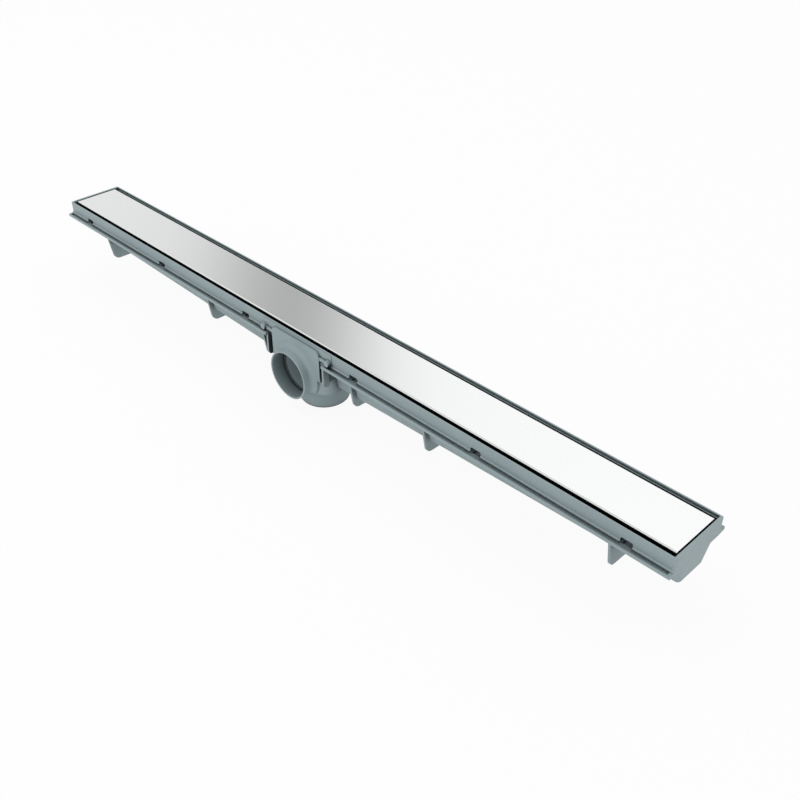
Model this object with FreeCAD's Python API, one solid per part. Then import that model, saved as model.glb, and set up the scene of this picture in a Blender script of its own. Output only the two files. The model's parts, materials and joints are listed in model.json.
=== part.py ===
import FreeCAD, Part
import os

from FreeCAD import Vector

# Linear shower drain, in millimetres. The origin is the centre of the trap's flat base, +Z is up,
# +X runs along the channel and the outlet faces -Y. Depths are measured down from the rim's top.
# "half" sizes are measured from the middle plane, "reach" is a distance from it towards -Y.

# Overall sizes
channel_length = 900.0
channel_width = 68.0
overall_height = 91.0

# Channel walls
wall = 2.8
corner_radius = 1.5
shoulder_depth = 16.0
rebate_width = 1.4
rebate_depth = 2.5
trough_top_half = 23.5
trough_floor_half = 17.0
trough_wall = 2.5
trough_end_depth = 41.5
trough_mid_depth = 55.5
trough_edge_radius = 4.5
trough_end_radius = 4.0
end_lean = 1.7

# Flange with its drip groove, along both long sides
flange_half = 40.3
flange_gap = 1.0
ledge_depth = 14.0
ledge_fillet = 1.0
ledge_width = 1.4
lip_width = 1.3
lip_depth = 14.5
lip_low_depth = 17.6
flange_root_half = 31.0
groove_start_wall = 5.0
groove_end_wall = 3.0

# Weep slots above the flange
first_slot = 86.0
slot_pitch = 160.0
slot_end_clearance = 40.0
slot_length = 12.0
slot_top_depth = 10.0
slot_corner_radius = 1.5
slot_sill = 0.8
slot_fall = 1.6

# Feet under the trough
first_foot_gap = 27.2
middle_foot = 172.8
end_foot_inset = 63.6
foot_thickness = 2.6
foot_top_half = 27.8
foot_low_half = 20.2
foot_depth = 63.0
foot_round = 8.0

# Trap housing under the middle of the channel
housing_half_length = 43.0
housing_half_width = 35.0
housing_corner = 6.0
skirt_corner = 16.0
housing_wall = 2.6
box_low = 33.0
well_top = 17.0
well_radius = 27.0
well_edge_radius = 2.0
panel_border = 3.5
panel_proud = 0.5
panel_top_depth = 1.0
panel_low_depth = 13.0

# Boss round the outlet, with a recess, a rib and a lug on each side of it
boss_half_length = 37.5
boss_reach = 37.0
boss_top_depth = 4.0
boss_low_depth = 40.0
boss_corner = 7.0
recess_reach = 31.0
rib_thickness = 2.5
rib_reach = 38.5
rib_top_depth = 15.0
rib_low_depth = 42.0
rib_round = 4.0
lug_gap = 13.0
lug_depth = 10.0
lug_radius = 3.3
lug_reach = 39.0
bar_reach = 36.5
bar_top_depth = 9.0
bar_low_depth = 13.0

# Outlet socket for a plain pipe of about 50.7 mm
outlet_depth = 43.2
outlet_bore_radius = 25.4
outlet_wall = 1.8
outlet_reach = 49.0
outlet_inner_reach = 22.3
outlet_flare = 5.8
stop_radius = 23.4
stop_reach = 33.0
stop_inner_reach = 31.5

# Shelf for the strainer
shelf_top = 36.5
shelf_thickness = 2.4
shelf_seat_end = 2.0
shelf_seat_side = 1.8
inlet_clearance = 1.5

# Cover plate, folded from sheet
cover_gap_side = 3.7
cover_gap_end = 1.6
cover_sheet = 1.2
cover_lip_height = 13.4
cover_bend_radius = 1.5
cover_inner_radius = 0.4

# Stiffeners folded from sheet, welded under the cover
stiffener_count = 5
stiffener_end_inset = 84.7
stiffener_width = 18.0
stiffener_height = 8.0
stiffener_sheet = 1.0
stiffener_end_gap = 0.9

# Rubber pads clipped on the cover's lips
pads_per_half = 3
pad_end_inset = 14.7
pad_pitch = 152.0
pad_length = 14.0
pad_cheek = 1.3
pad_height = 7.0

# Trap hood that plugs into the outlet, its seal and the hair strainer
hood_half_length = 27.0
hood_collar_gap = 0.3
hood_rear = -2.0
hood_top_rise = 0.5
hood_floor_gap = 1.0
hood_mouth = 12.0
hood_tube_radius = 21.5
hood_wall = 2.0
hood_corner = 3.0
hood_rib_count = 4
hood_rib_start = 5.0
hood_rib_pitch = 3.2
hood_rib_width = 1.2
hood_rib_proud = 0.6
spigot_clearance = 0.3
spigot_stop_gap = 0.2
seal_inset = 2.1
seal_cord = 1.3
seal_groove_width = 1.6
strainer_side_gap = 0.5
strainer_half_width = 24.4
strainer_plate = 1.6
strainer_corner = 10.0
strainer_hood_gap = 0.4
strainer_hole_radius = 1.6
strainer_hole_pitch = 6.0
strainer_border = 3.4

# Worked out from the sizes above
half_length = channel_length / 2
half_width = channel_width / 2
rim_z = overall_height
shoulder_z = rim_z - shoulder_depth
shoulder_low = shoulder_z - wall
inner_half_width = half_width - wall
inner_half_length = half_length - wall
outlet_z = rim_z - outlet_depth
outlet_radius = outlet_bore_radius + outlet_wall
cover_half_width = inner_half_width - cover_gap_side
cover_half_length = inner_half_length - cover_gap_end
rib_half = housing_half_length + rib_thickness
seal_inner_radius = outlet_bore_radius - seal_cord
flange_start = housing_half_length + flange_gap
lug_place = boss_half_length + lug_gap
panel_half_length = lug_place + panel_border
foot_places = (housing_half_length + first_foot_gap, middle_foot, half_length - end_foot_inset)
strainer_half_length = housing_half_length - housing_wall - strainer_side_gap
shelf_half_length = strainer_half_length - shelf_seat_end
shelf_half_width = strainer_half_width - shelf_seat_side
inlet_half_width = strainer_half_width + inlet_clearance
hood_front = hood_collar_gap - outlet_inner_reach
hood_top = shoulder_z + hood_top_rise
hood_box_low = box_low + hood_floor_gap
spigot_radius = outlet_bore_radius - spigot_clearance
spigot_front = spigot_stop_gap - stop_inner_reach
seal_place = spigot_front + seal_inset
over = 1.0


def block(x0, x1, y0, y1, z0, z1):
    return Part.makeBox(x1 - x0, y1 - y0, z1 - z0, Vector(x0, y0, z0))


def along_x(outline, x0, x1):
    """Prism between x0 and x1 over an outline of (y, z) points."""
    points = [Vector(x0, y, z) for y, z in outline + [outline[0]]]
    return Part.Face(Part.makePolygon(points)).extrude(Vector(x1 - x0, 0, 0))


def along_y(radius, y0, y1, z=outlet_z):
    return Part.makeCylinder(radius, y1 - y0, Vector(0, y0, z), Vector(0, 1, 0))


def upright(radius, z0, z1, x=0.0, y=0.0):
    return Part.makeCylinder(radius, z1 - z0, Vector(x, y, z0))


def turn_half(shape):
    return shape.rotated(Vector(0, 0, 0), Vector(0, 0, 1), 180)


def both_ends(shape):
    """The shape and its mirror image across the middle of the channel's length."""
    return [shape, shape.mirror(Vector(0, 0, 0), Vector(1, 0, 0))]


def rounded_block(x, y, z0, z1, radius):
    """Upright block of half sizes x and y with rounded corners."""
    body = block(-x, x, -y, y, z0, z1)
    edges = [e for e in body.Edges if e.BoundBox.ZLength > (z1 - z0) / 2]
    return body.makeFillet(radius, edges)


def rounded_wire(x, y, z, radius):
    body = rounded_block(x, y, z, z + over, radius)
    return [f for f in body.Faces if f.BoundBox.ZMax < z + over / 2][0].OuterWire


# Channel

def trough_half(top_half, floor_half, top_z, end_z, mid_z, reach, radius, end_radius):
    """Half of the trough, from the middle to +X, its floor falling towards the middle.

    The end wall leans in towards its foot."""
    def outline(x, floor_z, lean):
        points = [(x, -top_half, top_z), (x - lean, -floor_half, floor_z),
                  (x - lean, floor_half, floor_z), (x, top_half, top_z), (x, -top_half, top_z)]
        return Part.makePolygon([Vector(*p) for p in points])
    half = Part.makeLoft([outline(0.0, mid_z, 0.0), outline(reach, end_z, end_lean)], True, True)
    corners = [e for e in half.Edges if e.BoundBox.XMin > reach / 2
               and e.BoundBox.ZLength > end_radius]
    half = half.makeFillet(end_radius, corners)
    floor_edges = [e for e in half.Edges
                   if e.BoundBox.ZMax < end_z + over and e.BoundBox.XMax > reach / 2]
    return half.makeFillet(radius, floor_edges)


def trough_solids():
    half = trough_half(trough_top_half, trough_floor_half, shoulder_low, rim_z - trough_end_depth,
                       rim_z - trough_mid_depth, half_length, trough_edge_radius,
                       trough_end_radius)
    return both_ends(half)


def trough_spaces():
    half = trough_half(trough_top_half - trough_wall, trough_floor_half - trough_wall,
                       shoulder_z + over, rim_z - trough_end_depth + trough_wall,
                       rim_z - trough_mid_depth + trough_wall, inner_half_length,
                       trough_edge_radius - over, trough_end_radius - over)
    return both_ends(half)


def flange():
    """Front flange from the rib to the end, with a drip groove closed at both ends."""
    ledge = rim_z - ledge_depth
    outline = [(-half_width + over, ledge + ledge_fillet), (-half_width, ledge + ledge_fillet),
               (-half_width - ledge_fillet, ledge), (-flange_half, ledge),
               (-flange_half, rim_z - lip_low_depth), (-flange_root_half, shoulder_low)]
    strip = along_x(outline, flange_start, half_length)
    lip = block(flange_start, half_length, -flange_half - over, -half_width - ledge_width,
                rim_z - lip_depth, rim_z)
    groove = block(flange_start + groove_start_wall, half_length - groove_end_wall,
                   -flange_half + lip_width, -half_width - ledge_width, shoulder_z, rim_z)
    return strip.cut(lip).cut(groove)


def weep_slots():
    """Slots through both walls, each open to the groove outside and the shoulder inside."""
    reach = half_width + ledge_width
    slots = []
    room = half_length - slot_end_clearance - first_slot
    for number in range(int(room / slot_pitch) + 1):
        x = first_slot + number * slot_pitch
        tool = block(x - slot_length / 2, x + slot_length / 2, -reach, reach, shoulder_z,
                     rim_z - slot_top_depth)
        edges = [e for e in tool.Edges if e.BoundBox.YLength > reach]
        slots += both_ends(tool.makeFillet(slot_corner_radius, edges))
        half = slot_length / 2 - slot_corner_radius
        for run in (slot_run(x - half, x + half), turn_half(slot_run(-x - half, -x + half))):
            slots += both_ends(run)
    return slots


def slot_run(x0, x1):
    """Shallow run behind a front slot's sill, through the shoulder into the trough."""
    sill = -half_width + slot_sill
    outline = [(sill, shoulder_z + over), (sill, shoulder_z),
               (sill + slot_fall, shoulder_z - slot_fall), (0.0, shoulder_z - slot_fall),
               (0.0, shoulder_z + over)]
    return along_x(outline, x0, x1)


def foot(x):
    """Thin upright plate across the trough's underside, rounded at both toes."""
    low = rim_z - foot_depth
    outline = [(-foot_top_half, shoulder_low), (-foot_low_half, low), (foot_low_half, low),
               (foot_top_half, shoulder_low)]
    plate = along_x(outline, x - foot_thickness / 2, x + foot_thickness / 2)
    toes = [e for e in plate.Edges
            if e.BoundBox.XLength > foot_thickness / 2 and e.BoundBox.ZMax < low + over]
    return plate.makeFillet(foot_round, toes)


# Trap housing

def housing_shape(shrink, low, base, split, top):
    """Box over a rounder skirt that runs down into a round well."""
    x = housing_half_length - shrink
    y = housing_half_width - shrink
    radius = well_radius - shrink
    round_corner = radius * 0.99
    box = rounded_block(x, y, split, top, housing_corner - shrink)
    skirt = rounded_block(x, y, low, split, skirt_corner - shrink)
    blend = Part.makeLoft([rounded_wire(x, y, low, skirt_corner - shrink),
                           rounded_wire(radius, radius, well_top, round_corner)], True, True)
    well = rounded_block(radius, radius, base, well_top, round_corner)
    return box.multiFuse([skirt, blend, well]).removeSplitter()


def housing_solid():
    body = housing_shape(0.0, box_low, 0.0, rim_z - boss_low_depth, shoulder_z)
    return body.makeFillet(well_edge_radius, [e for e in body.Edges if e.BoundBox.ZMax < over / 2])


def housing_space():
    return housing_shape(housing_wall, box_low + over, housing_wall,
                         rim_z - boss_low_depth + housing_wall, shoulder_low)


def rebates():
    """Small steps along the inner top edges of the long walls."""
    front = block(-inner_half_length, inner_half_length, -inner_half_width - rebate_width,
                  -inner_half_width + over, rim_z - rebate_depth, rim_z)
    return [front, turn_half(front)]


def inlet():
    """Opening in the shoulder over the housing, wide enough to lift the strainer out."""
    half = housing_half_length - housing_wall
    return block(-half, half, -inlet_half_width, inlet_half_width, shoulder_low, shoulder_z)


def recess():
    """Recess between the boss and the rib, on the +X side."""
    return block(boss_half_length, housing_half_length, -housing_half_width, -recess_reach,
                 rim_z - boss_low_depth, shoulder_low)


def recess_wall():
    """Wall behind the recess, kept when the housing is hollowed."""
    return block(boss_half_length - housing_wall, housing_half_length, -housing_half_width,
                 -recess_reach + housing_wall, rim_z - boss_low_depth - housing_wall, shoulder_low)


def boss():
    body = block(-boss_half_length, boss_half_length, -boss_reach, -inner_half_width,
                 rim_z - boss_low_depth, rim_z - boss_top_depth)
    edges = [e for e in body.Edges
             if e.BoundBox.YLength > over and e.BoundBox.ZMin > outlet_z + boss_corner]
    return body.makeFillet(boss_corner, edges)


def rib():
    body = block(housing_half_length, rib_half, -rib_reach, -recess_reach,
                 rim_z - rib_low_depth, rim_z - rib_top_depth)
    edges = [e for e in body.Edges if e.BoundBox.XLength > over
             and e.BoundBox.YMax < -rib_reach + over and e.BoundBox.ZMax < outlet_z + rib_round]
    return body.makeFillet(rib_round, edges)


def lug():
    """Round lug where the flange stops, tied to the boss by a bar."""
    z = rim_z - lug_depth
    pin = Part.makeCylinder(lug_radius, lug_reach - inner_half_width,
                            Vector(lug_place, -lug_reach, z), Vector(0, 1, 0))
    bar = block(boss_half_length - over, lug_place, -bar_reach, -inner_half_width,
                rim_z - bar_low_depth, rim_z - bar_top_depth)
    return pin.fuse(bar)


def panel():
    return block(-panel_half_length, panel_half_length, -half_width - panel_proud,
                 -inner_half_width, rim_z - panel_low_depth, rim_z - panel_top_depth)


def outlet_tube():
    return along_y(outlet_radius, -outlet_reach, -outlet_inner_reach)


def outlet_flare_ring():
    """Coved foot of the outlet, on the boss and the flat front of the housing only."""
    start = -boss_reach - outlet_flare
    disc = along_y(outlet_radius + outlet_flare, start, -inner_half_width)
    cove = Part.makeTorus(outlet_radius + outlet_flare, outlet_flare, Vector(0, start, outlet_z),
                          Vector(0, 1, 0))
    above = block(-half_width, half_width, -outlet_reach, 0, box_low, rim_z)
    return disc.cut(cove).common(above)


def outlet_bore():
    bore = along_y(outlet_bore_radius, -outlet_reach - over, -outlet_inner_reach)
    stop = along_y(outlet_bore_radius, -stop_reach, -stop_inner_reach)
    return bore.cut(stop.cut(along_y(stop_radius, -stop_reach, -stop_inner_reach)))


def shelf():
    """Shelf round the inside of the housing that the strainer rests on."""
    half_x = housing_half_length - over
    half_y = housing_half_width - over
    low = shelf_top - shelf_thickness
    ring = block(-half_x, half_x, -half_y, half_y, low, shelf_top)
    opening = block(-shelf_half_length, shelf_half_length, -shelf_half_width, shelf_half_width,
                    low, shelf_top)
    front = hood_half_length + strainer_hood_gap
    notch = block(-front, front, -half_y, 0, low, shelf_top)
    return ring.cut(opening).cut(notch)


def channel_body():
    frame = rounded_block(half_length, half_width, shoulder_low, rim_z, corner_radius)
    frame_space = rounded_block(inner_half_length, inner_half_width, shoulder_z, rim_z + over,
                                corner_radius / 2)
    strips = both_ends(flange())
    feet = []
    for x in foot_places:
        feet += both_ends(foot(x))
    solids = trough_solids() + strips + [turn_half(s) for s in strips] + feet
    solids += both_ends(rib()) + both_ends(lug())
    solids += [housing_solid(), boss(), panel(), outlet_tube(), outlet_flare_ring()]
    body = frame.multiFuse(solids)
    for tool in both_ends(recess()):
        body = body.cut(tool)
    kept = outlet_tube().multiFuse([shelf()] + both_ends(recess_wall()))
    body = body.cut(housing_space().cut(kept))
    for tool in ([frame_space, inlet(), outlet_bore()] + rebates() + trough_spaces()
                 + weep_slots()):
        body = body.cut(tool)
    return body.removeSplitter()


# Cover

def cover_plate():
    low = rim_z - cover_lip_height
    outer = block(-cover_half_length, cover_half_length, -cover_half_width, cover_half_width,
                  low, rim_z)
    bends = [e for e in outer.Edges if e.BoundBox.ZMin > rim_z - over / 2]
    outer = outer.makeFillet(cover_bend_radius, bends)
    inner = block(-cover_half_length + cover_sheet, cover_half_length - cover_sheet,
                  -cover_half_width + cover_sheet, cover_half_width - cover_sheet,
                  low - over, rim_z - cover_sheet)
    bends = [e for e in inner.Edges if e.BoundBox.ZMin > rim_z - cover_sheet - over / 2]
    return outer.cut(inner.makeFillet(cover_inner_radius, bends))


def stiffener(x):
    """Channel-shaped strip across the cover, its web against the cover's underside."""
    top = rim_z - cover_sheet
    reach = cover_half_width - cover_sheet - stiffener_end_gap
    half = stiffener_width / 2
    outer = block(x - half, x + half, -reach, reach, top - stiffener_height, top)
    inner = block(x - half + stiffener_sheet, x + half - stiffener_sheet, -reach, reach,
                  top - stiffener_height, top - stiffener_sheet)
    return outer.cut(inner)


def pad(x):
    """Rubber clip on the front lip, standing on the channel's shoulder."""
    lip_inner = cover_half_width - cover_sheet
    tall = shoulder_z + pad_height
    body = block(x - pad_length / 2, x + pad_length / 2, -cover_half_width - pad_cheek,
                 -lip_inner + pad_cheek, shoulder_z, tall)
    slot = block(x - pad_length, x + pad_length, -cover_half_width, -lip_inner,
                 rim_z - cover_lip_height, tall)
    return body.cut(slot)


# Trap hood and strainer

def hood_shape(shrink, mouth, front):
    """Hood envelope: a box above, a half-round tube below and a round spigot to the front."""
    x = hood_half_length - shrink
    rear = hood_rear - shrink
    low = hood_box_low + shrink
    box = block(-x, x, hood_front + shrink, rear, low, hood_top - shrink)
    edges = [e for e in box.Edges if e.BoundBox.ZLength > over]
    box = box.makeFillet(hood_corner - shrink / 2, edges)
    tube = upright(hood_tube_radius - shrink, mouth, low + over)
    tube = tube.common(block(-x, x, -x, rear, mouth, hood_top))
    spigot = along_y(spigot_radius - shrink, front, rear)
    return box.multiFuse([tube, spigot])


def hood_ribs():
    """Fine upright ribs inside the hood's side walls."""
    inner = hood_half_length - hood_wall
    ribs = []
    for number in range(hood_rib_count):
        y = hood_front + hood_rib_start + number * hood_rib_pitch
        rib_block = block(inner - hood_rib_proud, inner + hood_wall / 2, y, y + hood_rib_width,
                          hood_box_low + hood_wall, hood_top - hood_wall / 2)
        ribs += both_ends(rib_block)
    return ribs


def trap_hood():
    body = hood_shape(0.0, hood_mouth, spigot_front)
    body = body.cut(hood_shape(hood_wall, hood_mouth - over, spigot_front - over))
    body = body.multiFuse(hood_ribs())
    half_groove = seal_groove_width / 2
    ring = along_y(spigot_radius + over, seal_place - half_groove, seal_place + half_groove)
    groove = ring.cut(along_y(seal_inner_radius, seal_place - half_groove,
                              seal_place + half_groove))
    return body.cut(groove).removeSplitter()


def hood_seal_ring():
    return Part.makeTorus(seal_inner_radius + seal_cord / 2, seal_cord / 2,
                          Vector(0, seal_place, outlet_z), Vector(0, 1, 0))


def hair_strainer():
    top = shelf_top + strainer_plate
    plate = rounded_block(strainer_half_length, strainer_half_width, shelf_top, top,
                          strainer_corner)
    side = hood_half_length + strainer_hood_gap
    notch_rear = hood_rear + strainer_hood_gap
    notch = block(-side, side, -half_width, notch_rear, shelf_top, top)
    holes = []
    columns = int((shelf_half_length - strainer_border) / strainer_hole_pitch)
    rows = int((shelf_half_width - strainer_border) / strainer_hole_pitch)
    for column in range(-columns, columns + 1):
        for row in range(-rows, rows + 1):
            x = column * strainer_hole_pitch
            y = row * strainer_hole_pitch
            if abs(x) > side + strainer_border or y > notch_rear + strainer_border:
                holes.append(upright(strainer_hole_radius, shelf_top, top, x, y))
    return plate.cut(notch).cut(Part.makeCompound(holes))


def make_parts():
    parts = {"channel_body": channel_body(), "cover_plate": cover_plate(),
             "trap_hood": trap_hood(), "hood_seal_ring": hood_seal_ring(),
             "hair_strainer": hair_strainer()}
    reach = cover_half_length - stiffener_end_inset
    for number in range(stiffener_count):
        x = (2 * number / (stiffener_count - 1) - 1) * reach
        parts["cover_stiffener_%d" % (number + 1)] = stiffener(x)
    right = [cover_half_length - pad_end_inset - n * pad_pitch for n in range(pads_per_half)]
    for number, x in enumerate([-x for x in right] + right[::-1], start=1):
        parts["cover_pad_front_%d" % number] = pad(x)
        parts["cover_pad_rear_%d" % number] = turn_half(pad(-x))
    return parts


os.makedirs("parts", exist_ok=True)
for name, shape in make_parts().items():
    print(name, len(shape.Solids), shape.isValid(), round(shape.Volume / 1000, 2), "cm3")
    shape.exportStep("parts/" + name + ".step")
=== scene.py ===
"""Looks of the linear shower drain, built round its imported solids."""

import json
import logging
import math
from dataclasses import dataclass, field
from enum import Enum
from typing import Any

import bpy
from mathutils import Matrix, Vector


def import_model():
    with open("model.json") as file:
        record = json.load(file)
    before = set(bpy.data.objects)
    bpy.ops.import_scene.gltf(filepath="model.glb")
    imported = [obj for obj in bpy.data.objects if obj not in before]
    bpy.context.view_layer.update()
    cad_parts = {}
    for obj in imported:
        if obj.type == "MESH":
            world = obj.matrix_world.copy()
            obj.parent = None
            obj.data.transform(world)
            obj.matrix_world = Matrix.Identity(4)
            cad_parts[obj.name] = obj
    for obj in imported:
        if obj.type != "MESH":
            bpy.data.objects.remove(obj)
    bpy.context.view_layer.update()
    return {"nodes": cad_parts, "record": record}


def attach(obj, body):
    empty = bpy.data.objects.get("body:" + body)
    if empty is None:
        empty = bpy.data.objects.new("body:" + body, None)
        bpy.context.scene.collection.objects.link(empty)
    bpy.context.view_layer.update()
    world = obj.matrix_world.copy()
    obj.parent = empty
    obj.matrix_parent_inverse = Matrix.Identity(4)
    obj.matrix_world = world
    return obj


LOG = logging.getLogger("drain")
ROOT = "root"
MM = 0.001
SHADE_SAMPLES = 12
BUMP_STRENGTH = 0.5
SENSOR_WIDTH = 36.0

Node = bpy.types.Node
Tree = bpy.types.NodeTree
Socket = bpy.types.NodeSocket
Material = bpy.types.Material
Colour = tuple[float, float, float]


def linear(red: int, green: int, blue: int) -> Colour:
    """Turns a colour written as screen values into linear light.

    Args:
        red: Red from 0 to 255.
        green: Green from 0 to 255.
        blue: Blue from 0 to 255.

    Returns:
        The three linear values, from 0 to 1.
    """
    def one(value: int) -> float:
        """Converts one screen value."""
        share = value / 255
        return share / 12.92 if share <= 0.04045 else ((share + 0.055) / 1.055) ** 2.4
    return one(red), one(green), one(blue)


class Slot(Enum):
    """Material slots of the record."""

    BODY = "body_plastic"
    STAINLESS = "stainless"
    RUBBER = "rubber"
    TRAP = "trap_plastic"


@dataclass
class GroupTree:
    """A shader node group with its inputs and outputs.

    Args:
        name: The group's name.
        inputs: Input names with their socket types and default values.
        outputs: Output names with their socket types.
    """

    name: str
    inputs: dict[str, tuple[str, Any]]
    outputs: dict[str, str]
    tree: Tree = field(init=False)
    source: Node = field(init=False)
    sink: Node = field(init=False)

    def __post_init__(self) -> None:
        """Makes the empty group."""
        self.tree = bpy.data.node_groups.new(self.name, "ShaderNodeTree")
        for title, (kind, value) in self.inputs.items():
            made = self.tree.interface.new_socket(title, in_out="INPUT", socket_type=kind)
            made.default_value = value
        for title, kind in self.outputs.items():
            self.tree.interface.new_socket(title, in_out="OUTPUT", socket_type=kind)
        self.source = self.tree.nodes.new("NodeGroupInput")
        self.sink = self.tree.nodes.new("NodeGroupOutput")

    def add(self, kind: str, **values: Any) -> Node:
        """Adds a node and sets its properties.

        Args:
            kind: The node's type.
            **values: Properties of the node.

        Returns:
            The new node.
        """
        return add_node(self.tree, kind, **values)

    def link(self, start: Socket, end: Socket) -> None:
        """Joins two sockets."""
        self.tree.links.new(start, end)


def add_node(tree: Tree, kind: str, **values: Any) -> Node:
    """Adds a node to a tree and sets its properties.

    Args:
        tree: The tree that gets the node.
        kind: The node's type.
        **values: Properties of the node.

    Returns:
        The new node.
    """
    node = tree.nodes.new(kind)
    for name, value in values.items():
        setattr(node, name, value)
    return node


FLOAT = "NodeSocketFloat"


def moulded_skin() -> Tree:
    """Fine grain and slow mottling of a moulded surface.

    Returns:
        The group. It puts out a tint from 0 to 1 and a height.
    """
    group = GroupTree("moulded_skin",
                      {"Grain": (FLOAT, 900.0), "Mottle": (FLOAT, 14.0)},
                      {"Tint": FLOAT, "Height": FLOAT})
    place = group.add("ShaderNodeTexCoord")
    grain = group.add("ShaderNodeTexNoise")
    grain.inputs["Detail"].default_value = 3.0
    mottle = group.add("ShaderNodeTexNoise")
    mottle.inputs["Detail"].default_value = 4.0
    for node, title in ((grain, "Grain"), (mottle, "Mottle")):
        group.link(place.outputs["Object"], node.inputs["Vector"])
        group.link(group.source.outputs[title], node.inputs["Scale"])
    group.link(mottle.outputs["Fac"], group.sink.inputs["Tint"])
    group.link(grain.outputs["Fac"], group.sink.inputs["Height"])
    return group.tree


def brushing() -> Tree:
    """Fine scratches that run along X.

    Returns:
        The group. It puts out a streak value from 0 to 1 and a slow tone.
    """
    group = GroupTree("brushing",
                      {"Along": (FLOAT, 3.0), "Across": (FLOAT, 2600.0)},
                      {"Streak": FLOAT, "Tone": FLOAT})
    place = group.add("ShaderNodeTexCoord")
    stretch = group.add("ShaderNodeCombineXYZ")
    group.link(group.source.outputs["Along"], stretch.inputs["X"])
    for axis in "YZ":
        group.link(group.source.outputs["Across"], stretch.inputs[axis])
    scaled = group.add("ShaderNodeVectorMath", operation="MULTIPLY")
    group.link(place.outputs["Object"], scaled.inputs[0])
    group.link(stretch.outputs["Vector"], scaled.inputs[1])
    lines = group.add("ShaderNodeTexNoise")
    lines.inputs["Scale"].default_value = 1.0
    lines.inputs["Detail"].default_value = 3.0
    group.link(scaled.outputs["Vector"], lines.inputs["Vector"])
    slow = group.add("ShaderNodeTexNoise")
    slow.inputs["Scale"].default_value = 2.2
    slow.inputs["Detail"].default_value = 1.0
    group.link(place.outputs["Object"], slow.inputs["Vector"])
    group.link(lines.outputs["Fac"], group.sink.inputs["Streak"])
    group.link(slow.outputs["Fac"], group.sink.inputs["Tone"])
    return group.tree


def painted_recess_shade() -> Tree:
    """Painted shade: darkens the base colour in narrow gaps and deep in a piece's own slots and
    bores, from ambient occlusion.

    Returns:
        The group. It puts out a mask that is 1 in the open and 0 deep inside, where the painted
        shade is fullest.
    """
    group = GroupTree("painted_recess_shade",
                      {"Reach": (FLOAT, 0.02), "Gap": (FLOAT, 0.011), "Shut": (FLOAT, 0.2),
                       "Open": (FLOAT, 0.7)}, {"Mask": FLOAT})
    # ambient occlusion here only sets where shade is painted into the base colour
    hollow = group.add("ShaderNodeAmbientOcclusion", samples=SHADE_SAMPLES,
                       only_local=True)
    narrow = group.add("ShaderNodeAmbientOcclusion", samples=SHADE_SAMPLES)
    least = group.add("ShaderNodeMath", operation="MINIMUM")
    spread = group.add("ShaderNodeMapRange", interpolation_type="SMOOTHSTEP")
    group.link(group.source.outputs["Reach"], hollow.inputs["Distance"])
    group.link(group.source.outputs["Gap"], narrow.inputs["Distance"])
    group.link(hollow.outputs["AO"], least.inputs[0])
    group.link(narrow.outputs["AO"], least.inputs[1])
    group.link(least.outputs["Value"], spread.inputs["Value"])
    group.link(group.source.outputs["Shut"], spread.inputs["From Min"])
    group.link(group.source.outputs["Open"], spread.inputs["From Max"])
    group.link(spread.outputs["Result"], group.sink.inputs["Mask"])
    return group.tree


@dataclass(frozen=True)
class Effects:
    """The shader groups that the finishes share."""

    skin: Tree
    lines: Tree
    shade: Tree


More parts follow.
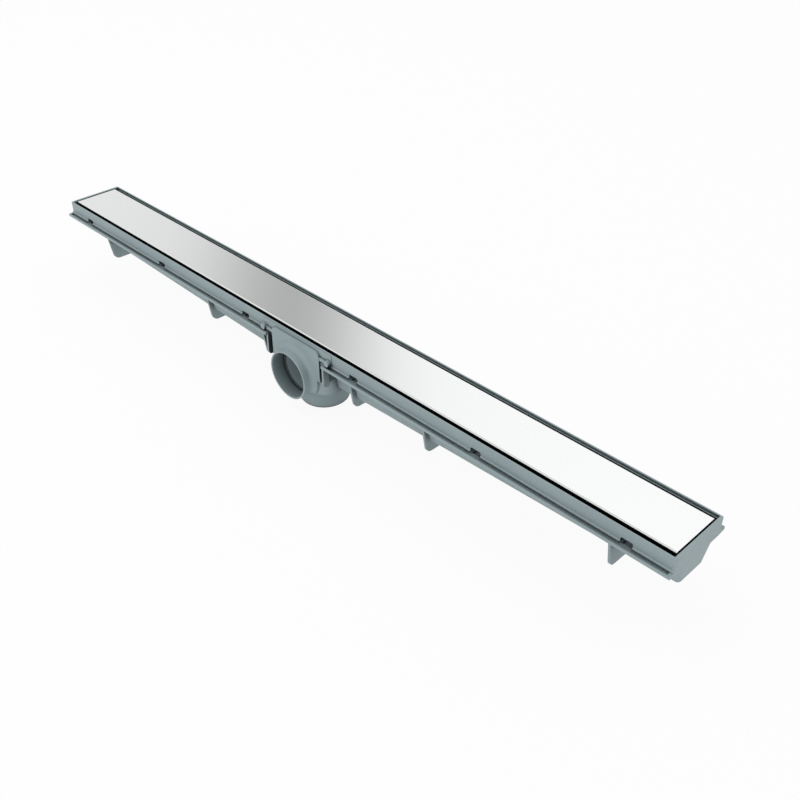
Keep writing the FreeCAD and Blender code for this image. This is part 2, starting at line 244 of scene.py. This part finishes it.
@dataclass(frozen=True)
class Finish:
    """Base of a finish: a material with a Principled shader.

    Args:
        name: The material's name.
        dark: The darker colour.
        light: The lighter colour.
        roughness: The lowest and highest roughness.
        bump: Height of the surface grain, in metres.
        hollow: Share of the colour that is left where the painted shade is deepest in a recess.
        reach: How far the painted recess shade reaches, in metres.
        limits: Openness at which the painted shade is full, and at which it ends.
        spread: Values between which the colour changes from dark to light.
    """

    name: str
    dark: Colour
    light: Colour
    roughness: tuple[float, float]
    bump: float
    hollow: float = 0.08
    reach: float = 0.08
    limits: tuple[float, float] = (0.28, 0.74)
    spread: tuple[float, float] = (0.3, 0.7)

    def start(self) -> tuple[Material, Tree, Node]:
        """Makes the material with only its shader and output.

        Returns:
            The material, its node tree and its shader node.
        """
        material = bpy.data.materials.new(self.name)
        material.use_nodes = True
        tree = material.node_tree
        tree.nodes.clear()
        shader = add_node(tree, "ShaderNodeBsdfPrincipled")
        output = add_node(tree, "ShaderNodeOutputMaterial")
        tree.links.new(shader.outputs["BSDF"], output.inputs["Surface"])
        return material, tree, shader

    def colour_from(self, tree: Tree, value: Socket, shader: Node, shade: Tree) -> None:
        """Feeds the base colour from a value, between the two colours, with shade painted darker
        in recesses and gaps.

        Args:
            tree: The material's tree.
            value: A value from 0 to 1.
            shader: The shader node.
            shade: The shared group of painted recess shade.
        """
        ramp = add_node(tree, "ShaderNodeValToRGB")
        for stop, position, colour in zip(ramp.color_ramp.elements, self.spread,
                                          (self.dark, self.light)):
            stop.position = position
            stop.color = (*colour, 1.0)
        tree.links.new(value, ramp.inputs["Fac"])
        painted_shade_node = add_node(tree, "ShaderNodeGroup", node_tree=shade)
        painted_shade_node.inputs["Reach"].default_value = self.reach
        for title, limit in zip(("Shut", "Open"), self.limits):
            painted_shade_node.inputs[title].default_value = limit
        # painted shade: the colour goes to the dark colour times hollow where the mask is low
        blend = add_node(tree, "ShaderNodeMix", data_type="RGBA")
        deep = [channel * self.hollow for channel in self.dark]
        colour_inputs = [s for s in blend.inputs if s.type == "RGBA"]
        colour_inputs[0].default_value = (*deep, 1.0)
        tree.links.new(painted_shade_node.outputs["Mask"], blend.inputs[0])
        tree.links.new(ramp.outputs["Color"], colour_inputs[1])
        result = [s for s in blend.outputs if s.type == "RGBA"][0]
        tree.links.new(result, shader.inputs["Base Color"])

    def roughness_from(self, tree: Tree, value: Socket, shader: Node) -> None:
        """Feeds the roughness from a value, between its two limits.

        Args:
            tree: The material's tree.
            value: A value from 0 to 1.
            shader: The shader node.
        """
        spread = add_node(tree, "ShaderNodeMapRange")
        spread.inputs["To Min"].default_value = self.roughness[0]
        spread.inputs["To Max"].default_value = self.roughness[1]
        tree.links.new(value, spread.inputs["Value"])
        tree.links.new(spread.outputs["Result"], shader.inputs["Roughness"])

    def bump_from(self, tree: Tree, height: Socket, shader: Node) -> None:
        """Feeds the normal from a height.

        Args:
            tree: The material's tree.
            height: The height value.
            shader: The shader node.
        """
        bump = add_node(tree, "ShaderNodeBump")
        bump.inputs["Distance"].default_value = self.bump
        bump.inputs["Strength"].default_value = BUMP_STRENGTH
        tree.links.new(height, bump.inputs["Height"])
        tree.links.new(bump.outputs["Normal"], shader.inputs["Normal"])


@dataclass(frozen=True)
class MouldedFinish(Finish):
    """A moulded plastic or rubber.

    Args:
        grain: Scale of the fine grain.
        mottle: Scale of the slow mottling.
    """

    grain: float = 900.0
    mottle: float = 14.0

    def build(self, effects: Effects) -> Material:
        """Builds the material.

        Args:
            effects: The shared shader groups.

        Returns:
            The material.
        """
        material, tree, shader = self.start()
        group = add_node(tree, "ShaderNodeGroup", node_tree=effects.skin)
        group.inputs["Grain"].default_value = self.grain
        group.inputs["Mottle"].default_value = self.mottle
        self.colour_from(tree, group.outputs["Tint"], shader, effects.shade)
        self.roughness_from(tree, group.outputs["Tint"], shader)
        self.bump_from(tree, group.outputs["Height"], shader)
        return material


@dataclass(frozen=True)
class BrushedFinish(Finish):
    """Stainless sheet, brushed along the channel."""

    def build(self, effects: Effects) -> Material:
        """Builds the material.

        Args:
            effects: The shared shader groups.

        Returns:
            The material.
        """
        material, tree, shader = self.start()
        shader.inputs["Metallic"].default_value = 1.0
        group = add_node(tree, "ShaderNodeGroup", node_tree=effects.lines)
        self.colour_from(tree, group.outputs["Tone"], shader, effects.shade)
        self.roughness_from(tree, group.outputs["Streak"], shader)
        self.bump_from(tree, group.outputs["Streak"], shader)
        return material


def all_finishes() -> dict[Slot, Material]:
    """Builds one material for each slot.

    Returns:
        The materials by slot.
    """
    effects = Effects(moulded_skin(), brushing(), painted_recess_shade())
    # body and rubber take the default painted recess shade, darkest deep in the outlet bore
    body = MouldedFinish("blue_grey_moulding", linear(140, 155, 158), linear(147, 162, 165),
                         (0.42, 0.5), 0.00002)
    # painted light: the trap is the body's plastic drawn lighter so that it shows inside the
    # shaded outlet, with almost no painted shade
    trap = MouldedFinish("trap_moulding", linear(160, 175, 178), linear(168, 183, 186),
                         (0.38, 0.46), 0.00002, hollow=0.9)
    rubber = MouldedFinish("black_rubber", linear(22, 22, 22), linear(34, 34, 34),
                           (0.7, 0.85), 0.00004)
    # the steel's painted shade turns the cover's lips near black in the gap round it
    steel = BrushedFinish("brushed_stainless", linear(247, 249, 248), linear(251, 252, 252),
                          (0.18, 0.2), 0.0000015, hollow=0.02, reach=0.012, limits=(0.2, 0.8))
    return {Slot.BODY: body.build(effects), Slot.TRAP: trap.build(effects),
            Slot.RUBBER: rubber.build(effects), Slot.STAINLESS: steel.build(effects)}


@dataclass
class PackedPieces:
    """The drain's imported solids, each in the finish of its slot."""

    nodes: dict[str, bpy.types.Object]
    record: dict[str, Any]
    finishes: dict[Slot, Material]

    def dress(self) -> None:
        """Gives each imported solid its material."""
        for entry in self.record["subparts"]:
            piece = self.nodes[entry["node"]]
            slot = Slot(entry["material_slot"])
            piece.data.materials.clear()
            piece.data.materials.append(self.finishes[slot])
            LOG.info("dressed %s in %s", piece.name, slot.value)


@dataclass
class StrainerRims:
    """Rolled rims round the strainer's drain holes.

    Args:
        finish: The strainer's material.
        plate_top: Height of the strainer's top face, in metres.
        columns: Holes along the channel.
        rows: Holes across it.
        pitch: Distance between holes, in metres.
        row_middle: Place across the channel of the middle row, in metres.
        ring_radius: Radius of a rim's middle line, in metres.
        bead_radius: Radius of the rolled edge, in metres.
        ring_steps: Points round a rim.
        bead_steps: Points round the rolled edge.
    """

    finish: Material
    plate_top: float = 38.1 * MM
    columns: int = 11
    rows: int = 3
    pitch: float = 6.0 * MM
    row_middle: float = 12.0 * MM
    ring_radius: float = 1.9 * MM
    bead_radius: float = 0.3 * MM
    ring_steps: int = 20
    bead_steps: int = 6

    def sizes(self) -> dict[str, tuple[str, Any]]:
        """Names the tree's inputs, with their types and values."""
        return {"Columns": ("NodeSocketInt", self.columns), "Rows": ("NodeSocketInt", self.rows),
                "Length": (FLOAT, self.pitch * (self.columns - 1)),
                "Width": (FLOAT, self.pitch * (self.rows - 1)),
                "Ring Radius": (FLOAT, self.ring_radius),
                "Bead Radius": (FLOAT, self.bead_radius)}

    def tree(self) -> Tree:
        """Builds the Geometry Nodes tree that sets a rim on each hole.

        Returns:
            The tree.
        """
        tree = bpy.data.node_groups.new("strainer_rims", "GeometryNodeTree")
        for title, (kind, value) in self.sizes().items():
            made = tree.interface.new_socket(title, in_out="INPUT", socket_type=kind)
            made.default_value = value
        tree.interface.new_socket("Mesh", in_out="OUTPUT", socket_type="NodeSocketGeometry")
        source = add_node(tree, "NodeGroupInput")
        sink = add_node(tree, "NodeGroupOutput")
        grid = add_node(tree, "GeometryNodeMeshGrid")
        ring = add_node(tree, "GeometryNodeCurvePrimitiveCircle")
        bead = add_node(tree, "GeometryNodeCurvePrimitiveCircle")
        sweep = add_node(tree, "GeometryNodeCurveToMesh")
        place = add_node(tree, "GeometryNodeInstanceOnPoints")
        lift = add_node(tree, "GeometryNodeTransform")
        real = add_node(tree, "GeometryNodeRealizeInstances")
        smooth = add_node(tree, "GeometryNodeSetShadeSmooth")
        finish = add_node(tree, "GeometryNodeSetMaterial")
        ring.inputs["Resolution"].default_value = self.ring_steps
        bead.inputs["Resolution"].default_value = self.bead_steps
        lift.inputs["Translation"].default_value = (0.0, self.row_middle, self.plate_top)
        finish.inputs["Material"].default_value = self.finish
        for start, end in (
                (source.outputs["Length"], grid.inputs["Size X"]),
                (source.outputs["Width"], grid.inputs["Size Y"]),
                (source.outputs["Columns"], grid.inputs["Vertices X"]),
                (source.outputs["Rows"], grid.inputs["Vertices Y"]),
                (source.outputs["Ring Radius"], ring.inputs["Radius"]),
                (source.outputs["Bead Radius"], bead.inputs["Radius"]),
                (ring.outputs["Curve"], sweep.inputs["Curve"]),
                (bead.outputs["Curve"], sweep.inputs["Profile Curve"]),
                (grid.outputs["Mesh"], place.inputs["Points"]),
                (sweep.outputs["Mesh"], place.inputs["Instance"]),
                (place.outputs["Instances"], lift.inputs["Geometry"]),
                (lift.outputs["Geometry"], smooth.inputs["Geometry"]),
                (smooth.outputs["Geometry"], real.inputs["Geometry"]),
                (real.outputs["Geometry"], finish.inputs["Geometry"]),
                (finish.outputs["Geometry"], sink.inputs["Mesh"])):
            tree.links.new(start, end)
        return tree

    def build(self) -> bpy.types.Object:
        """Builds the rims as one plain mesh that rides on the drain.

        Returns:
            The rims' object.
        """
        rims = bpy.data.objects.new("strainer_hole_rims", bpy.data.meshes.new("rims_seed"))
        bpy.context.scene.collection.objects.link(rims)
        modifier = rims.modifiers.new("rims", "NODES")
        modifier.node_group = self.tree()
        values = {title: value for title, (_, value) in self.sizes().items()}
        for item in modifier.node_group.interface.items_tree:
            if item.in_out == "INPUT":
                modifier[item.identifier] = values[item.name]
        bpy.context.view_layer.update()
        shaped = rims.evaluated_get(bpy.context.evaluated_depsgraph_get())
        mesh = bpy.data.meshes.new_from_object(shaped)
        rims.modifiers.remove(modifier)
        rims.data = mesh
        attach(rims, ROOT)
        LOG.info("built %s with %d faces", rims.name, len(mesh.polygons))
        return rims


@dataclass(frozen=True)
class DarkPanel:
    """Soft grey strip between the two wide lights that the cover mirrors.

    Args:
        middle: Slope of the direction to the strip's middle, sideways over up.
        left: Slope where the left light is full.
        right: Slope where the right light is full.
        left_level: Level of the left light.
        level: Level in the strip's middle.
        turn: Direction that counts as sideways, in degrees from +X.
        lowest: Least upward share of a direction that is reckoned with.
    """

    middle: float = -0.22
    left: float = -0.52
    right: float = 0.04
    left_level: float = 0.82
    level: float = 0.34
    turn: float = 45.0
    lowest: float = 0.05

    def build(self, tree: Tree) -> Socket:
        """Works out the mirrored light's level from its direction.

        Args:
            tree: The world's tree.

        Returns:
            The level.
        """
        place = add_node(tree, "ShaderNodeTexCoord")
        sideways = add_node(tree, "ShaderNodeVectorMath", operation="DOT_PRODUCT")
        turn = math.radians(self.turn)
        sideways.inputs[1].default_value = (math.cos(turn), math.sin(turn), 0.0)
        tree.links.new(place.outputs["Generated"], sideways.inputs[0])
        parts = add_node(tree, "ShaderNodeSeparateXYZ")
        tree.links.new(place.outputs["Generated"], parts.inputs["Vector"])
        height = add_node(tree, "ShaderNodeMath", operation="MAXIMUM")
        height.inputs[1].default_value = self.lowest
        tree.links.new(parts.outputs["Z"], height.inputs[0])
        slope = add_node(tree, "ShaderNodeMath", operation="DIVIDE")
        tree.links.new(sideways.outputs["Value"], slope.inputs[0])
        tree.links.new(height.outputs["Value"], slope.inputs[1])
        total = add_node(tree, "ShaderNodeMath", operation="ADD")
        for number, (start, end, low, high) in enumerate((
                (self.left, self.middle, self.left_level, self.level),
                (self.middle, self.right, 0.0, 1.0 - self.level))):
            side = add_node(tree, "ShaderNodeMapRange", interpolation_type="SMOOTHSTEP")
            for title, value in (("From Min", start), ("From Max", end), ("To Min", low),
                                 ("To Max", high)):
                side.inputs[title].default_value = value
            tree.links.new(slope.outputs["Value"], side.inputs["Value"])
            tree.links.new(side.outputs["Result"], total.inputs[number])
        return total.outputs["Value"]


@dataclass(frozen=True)
class Lamp:
    """A square lamp that metal doesn't mirror.

    Args:
        name: The lamp's name.
        place: Its position, in metres.
        aim: The point that it faces.
        size: Its side, in metres.
        power: Its power, in watts.
    """

    name: str
    place: tuple[float, float, float]
    aim: tuple[float, float, float]
    size: float
    power: float

    def build(self) -> None:
        """Adds the lamp to the scene."""
        light = bpy.data.lights.new(self.name, "AREA")
        light.size = self.size
        light.energy = self.power
        lamp = bpy.data.objects.new(self.name, light)
        lamp.visible_glossy = False
        bpy.context.scene.collection.objects.link(lamp)
        lamp.location = self.place
        lamp.rotation_mode = "QUATERNION"
        towards = Vector(self.aim) - Vector(self.place)
        lamp.rotation_quaternion = towards.to_track_quat("-Z", "Y")


LAMPS = (Lamp("over", (-0.9, -0.5, 2.2), (0.0, 0.0, 0.0), 1.8, 8.0),
         Lamp("front", (0.2, -1.6, 0.4), (0.0, 0.0, 0.04), 0.8, 2.5))


@dataclass
class Studio:
    """Floor, backdrop light, lamps and camera.

    Args:
        camera_place: Camera position in the row frame, in metres.
        azimuth: Direction of the camera round the part, in degrees.
        elevation: Height of the camera above the horizon, in degrees.
        lens: Focal length for a sensor 36 mm wide.
        floor_half: Half the floor's side, in metres.
        pale: The floor's colour.
        shadow: Share of the floor's own light that the camera sees.
        floor_roughness: The floor's roughness.
        fill: Level of the even light all round.
        clip: Nearest and farthest distance that the camera sees, in metres.
        panel: The dark strip that the cover mirrors.
    """

    camera_place: tuple[float, float, float] = (0.6823, -0.5588, 0.6276)
    azimuth: float = 45.362
    elevation: float = 35.925
    lens: float = 44.37
    floor_half: float = 6.0
    pale: Colour = (0.88, 0.88, 0.88)
    shadow: float = 0.09
    floor_roughness: float = 0.9
    fill: float = 0.88
    clip: tuple[float, float] = (0.01, 50.0)
    panel: DarkPanel = DarkPanel()

    def seen(self, tree: Tree, title: str) -> Socket:
        """Gives one of the ray kinds of Light Path.

        Args:
            tree: The material's or world's tree.
            title: The output's name.

        Returns:
            A value that is 1 for that kind of ray.
        """
        return add_node(tree, "ShaderNodeLightPath").outputs[title]

    def world(self) -> None:
        """Makes the soft even light all round, and the white that camera and metal see."""
        world = bpy.data.worlds.new("studio")
        bpy.context.scene.world = world
        world.use_nodes = True
        tree = world.node_tree
        tree.nodes.clear()
        fill = add_node(tree, "ShaderNodeBackground")
        fill.inputs["Strength"].default_value = self.fill
        mirrored = add_node(tree, "ShaderNodeBackground")
        tree.links.new(self.panel.build(tree), mirrored.inputs["Strength"])
        plain = add_node(tree, "ShaderNodeBackground")
        for light in (fill, mirrored, plain):
            light.inputs["Color"].default_value = (1.0, 1.0, 1.0, 1.0)
        clear = add_node(tree, "ShaderNodeMath", operation="MAXIMUM")
        tree.links.new(self.seen(tree, "Is Camera Ray"), clear.inputs[0])
        tree.links.new(self.seen(tree, "Is Transmission Ray"), clear.inputs[1])
        glossy = add_node(tree, "ShaderNodeMixShader")
        tree.links.new(self.seen(tree, "Is Glossy Ray"), glossy.inputs["Fac"])
        tree.links.new(fill.outputs["Background"], glossy.inputs[1])
        tree.links.new(mirrored.outputs["Background"], glossy.inputs[2])
        white = add_node(tree, "ShaderNodeMixShader")
        tree.links.new(clear.outputs["Value"], white.inputs["Fac"])
        tree.links.new(glossy.outputs["Shader"], white.inputs[1])
        tree.links.new(plain.outputs["Background"], white.inputs[2])
        output = add_node(tree, "ShaderNodeOutputWorld")
        tree.links.new(white.outputs["Shader"], output.inputs["Surface"])

    def floor(self) -> None:
        """Makes the pale floor, white to the camera apart from the part's shadow."""
        half = self.floor_half
        mesh = bpy.data.meshes.new("floor")
        corners = [(-half, -half, 0), (half, -half, 0), (half, half, 0), (-half, half, 0)]
        mesh.from_pydata([Vector(c) for c in corners], [], [(0, 1, 2, 3)])
        floor = bpy.data.objects.new("floor", mesh)
        bpy.context.scene.collection.objects.link(floor)
        material = bpy.data.materials.new("pale_floor")
        material.use_nodes = True
        tree = material.node_tree
        shader = tree.nodes["Principled BSDF"]
        shader.inputs["Base Color"].default_value = (*self.pale, 1.0)
        shader.inputs["Roughness"].default_value = self.floor_roughness
        shader.inputs["Specular IOR Level"].default_value = 0.0
        white = add_node(tree, "ShaderNodeEmission")
        either = add_node(tree, "ShaderNodeMath", operation="MAXIMUM")
        tree.links.new(self.seen(tree, "Is Camera Ray"), either.inputs[0])
        tree.links.new(self.seen(tree, "Is Transmission Ray"), either.inputs[1])
        share = add_node(tree, "ShaderNodeMath", operation="MULTIPLY")
        share.inputs[1].default_value = 1.0 - self.shadow
        tree.links.new(either.outputs["Value"], share.inputs[0])
        mix = add_node(tree, "ShaderNodeMixShader")
        tree.links.new(share.outputs["Value"], mix.inputs["Fac"])
        tree.links.new(shader.outputs["BSDF"], mix.inputs[1])
        tree.links.new(white.outputs["Emission"], mix.inputs[2])
        tree.links.new(mix.outputs["Shader"], tree.nodes["Material Output"].inputs["Surface"])
        mesh.materials.append(material)

    def camera(self) -> None:
        """Sets the camera at the photograph's angle."""
        data = bpy.data.cameras.new("camera")
        data.lens = self.lens
        data.sensor_width = SENSOR_WIDTH
        camera = bpy.data.objects.new("camera", data)
        bpy.context.scene.collection.objects.link(camera)
        turn, lift = math.radians(self.azimuth), math.radians(self.elevation)
        back = Vector((math.sin(turn) * math.cos(lift), -math.cos(turn) * math.cos(lift),
                       math.sin(lift)))
        camera.location = self.camera_place
        camera.rotation_mode = "QUATERNION"
        camera.rotation_quaternion = (-back).to_track_quat("-Z", "Y")
        data.clip_start, data.clip_end = self.clip
        bpy.context.scene.camera = camera

    def build(self) -> None:
        """Builds the whole studio."""
        self.world()
        self.floor()
        for lamp in LAMPS:
            lamp.build()
        self.camera()
        bpy.context.scene.view_settings.view_transform = "Standard"
        LOG.info("studio is ready")


def main() -> None:
    """Builds the studio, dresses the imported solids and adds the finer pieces."""
    logging.basicConfig(level=logging.INFO)
    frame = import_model()
    Studio().build()
    finishes = all_finishes()
    PackedPieces(frame["nodes"], frame["record"], finishes).dress()
    StrainerRims(finishes[Slot.STAINLESS]).build()


if __name__ == "__main__":
    main()
